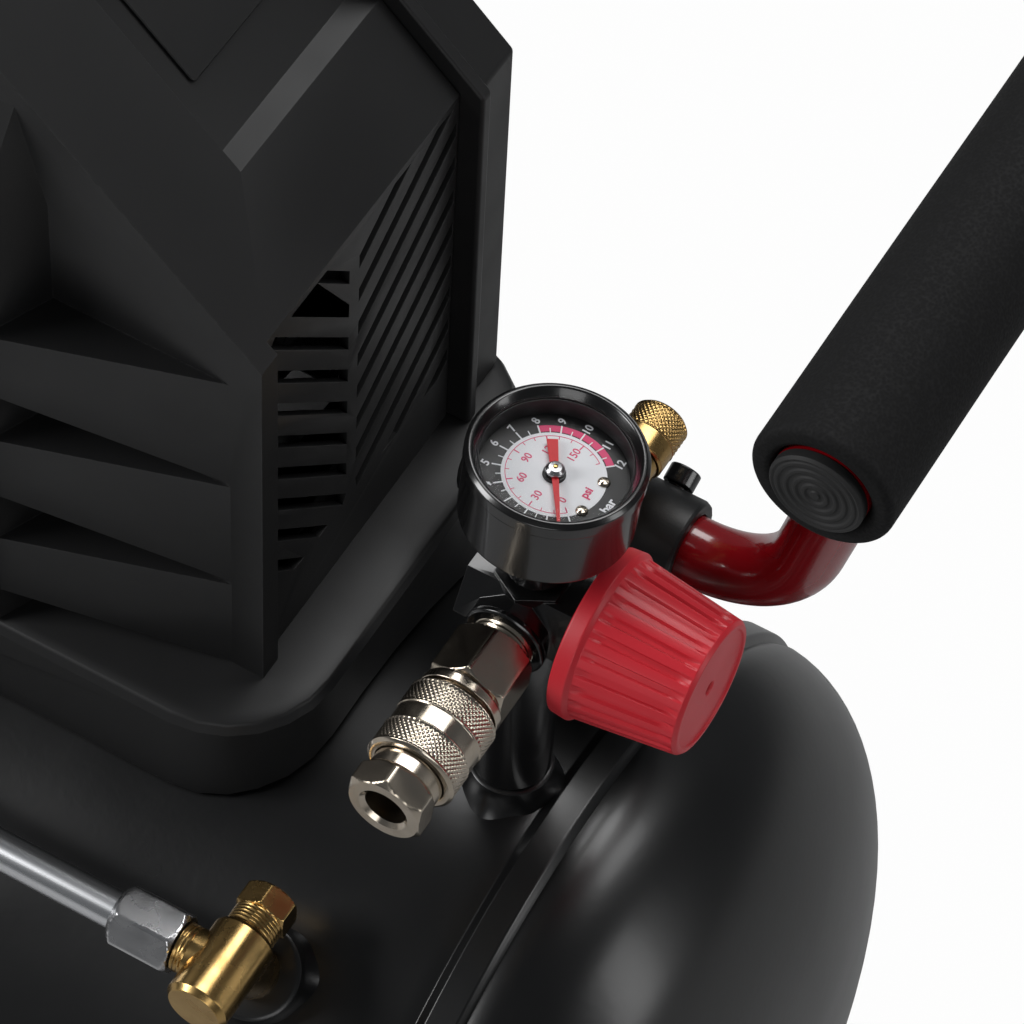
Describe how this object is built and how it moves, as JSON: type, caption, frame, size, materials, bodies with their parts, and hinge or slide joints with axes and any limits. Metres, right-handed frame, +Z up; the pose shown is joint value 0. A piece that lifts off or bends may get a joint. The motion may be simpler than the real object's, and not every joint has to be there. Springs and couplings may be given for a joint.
{
  "type": "air compressor",
  "caption": "Portable electric air compressor on a horizontal tank, with a cowled pump, pressure gauge, regulator knob, quick coupler, T-handle, wheels and feet.",
  "frame": {"origin": "middle of the object's footprint on the floor", "axes": "+Z up; +X along the tank towards the handle; -Y towards the operator who reads the gauge"},
  "size_m": [0.5439, 0.325, 0.5788],
  "materials": {
    "tank_paint": "gloss black paint",
    "cowl_plastic": "fine-grained black ABS",
    "black_steel": "satin black paint",
    "black_gloss": "gloss black",
    "knob_red": "satin red moulding",
    "handle_red": "gloss red enamel",
    "needle_red": "matt red",
    "nickel": "warm bright nickel plate",
    "brass": "turned brass",
    "steel": "machined",
    "aluminium": "drawn",
    "casting": "as cast",
    "foam": "matte foam rubber",
    "rubber": "moulded black rubber",
    "wheel_rubber": "solid rubber tyre",
    "wheel_plastic": "black nylon",
    "dial": "printed white card",
    "lens": "clear"
  },
  "bodies": {
    "chassis": {"air_filter": "black_gloss", "axle_bracket": "tank_paint", "axle_front": "steel", "axle_rear": "steel", "bourdon_tube": "brass", "cable_gland": "black_gloss", "check_valve": "brass", "coupler_body": "nickel", "coupler_nose": "nickel", "coupler_spring": "steel", "cowl_front": "cowl_plastic", "cowl_plinth": "cowl_plastic", "cowl_rear": "cowl_plastic", "crankcase": "aluminium", "cylinder": "casting", "cylinder_head": "aluminium", "delivery_nut": "steel", "delivery_tube": "aluminium", "drain_valve": "brass", "foot_bracket": "tank_paint", "foot_front": "rubber", "foot_rear": "rubber", "gauge_bezel": "black_gloss", "gauge_case": "black_gloss", "gauge_dial": "dial", "gauge_lens": "lens", "handle_socket": "black_steel", "manifold": "black_steel", "motor_stator": "casting", "pressure_switch": "black_gloss", "pump_base": "black_steel", "pump_mount": "rubber", "pump_saddle": "tank_paint", "regulator_bonnet": "black_steel", "regulator_spring": "steel", "riser_pipe": "black_steel", "safety_valve": "brass", "start_capacitor": "black_gloss", "tank_shell": "tank_paint"},
    "gauge_pointer": {"gauge_needle": "needle_red"},
    "regulator": {"regulator_knob": "knob_red", "regulator_screw": "steel"},
    "coupler_slide": {"coupler_sleeve": "nickel"},
    "coupler_poppet": {"coupler_valve": "brass"},
    "safety_pull": {"safety_cap": "brass"},
    "handle": {"handle_frame": "handle_red", "grip_foam": "foam", "grip_plug_front": "rubber", "grip_plug_rear": "rubber"},
    "handle_clamp": {"clamp_screw": "black_steel"},
    "front_wheel": {"hub_front": "wheel_plastic", "tyre_front": "wheel_rubber"},
    "rear_wheel": {"hub_rear": "wheel_plastic", "tyre_rear": "wheel_rubber"},
    "crank": {"crankshaft": "steel", "motor_rotor": "steel", "cooling_fan": "black_gloss"},
    "piston": {"connecting_rod": "aluminium"},
    "switch": {"switch_button": "knob_red"},
    "drain": {"drain_knob": "brass"}
  },
  "joints": [
    {"name": "needle_turn", "type": "hinge", "parent": "chassis", "child": "gauge_pointer", "pos_m": [0.16986, 0.00304, 0.45084], "axis": [0.045, 0.078, 0.9959], "range_deg": [-270, 0]},
    {"name": "regulator_turn", "type": "hinge", "parent": "chassis", "child": "regulator", "pos_m": [0.1981, 0, 0.4], "axis": [1, 0, 0], "range_deg": [-540, 540]},
    {"name": "sleeve_slide", "type": "slide", "parent": "chassis", "child": "coupler_slide", "axis": [0, 1, 0], "range_m": [0, 0.0038], "stiffness_N_per_m": 1500},
    {"name": "poppet_push", "type": "slide", "parent": "chassis", "child": "coupler_poppet", "axis": [0, 1, 0], "range_m": [0, 0.0024], "stiffness_N_per_m": 800},
    {"name": "safety_ring_pull", "type": "slide", "parent": "chassis", "child": "safety_pull", "axis": [0, 1, 0], "range_m": [0, 0.003], "stiffness_N_per_m": 1500},
    {"name": "handle_slide", "type": "slide", "parent": "chassis", "child": "handle", "axis": [1, 0, 0], "range_m": [0, 0.03]},
    {"name": "clamp_turn", "type": "hinge", "parent": "chassis", "child": "handle_clamp", "pos_m": [0.1736, 0.06628, 0.3757], "axis": [0, 0.9397, 0.342], "range_deg": [-360, 0]},
    {"name": "front_wheel_spin", "type": "hinge", "parent": "chassis", "child": "front_wheel", "pos_m": [-0.1869, -0.143, 0.072], "axis": [0, 1, 0], "continuous": true},
    {"name": "rear_wheel_spin", "type": "hinge", "parent": "chassis", "child": "rear_wheel", "pos_m": [-0.1869, 0.143, 0.072], "axis": [0, 1, 0], "continuous": true},
    {"name": "crank_spin", "type": "hinge", "parent": "chassis", "child": "crank", "pos_m": [0.0131, 0.033, 0.405], "axis": [1, 0, 0], "continuous": true},
    {"name": "piston_slide", "type": "slide", "parent": "chassis", "child": "piston", "axis": [0, 0, 1], "range_m": [-0.018, 0]},
    {"name": "switch_push", "type": "slide", "parent": "chassis", "child": "switch", "axis": [0, 0, 1], "range_m": [-0.006, 0]},
    {"name": "drain_turn", "type": "hinge", "parent": "chassis", "child": "drain", "pos_m": [0.1081, 0, 0.04], "axis": [0, 0, 1], "range_deg": [-360, 0]}
  ]
}
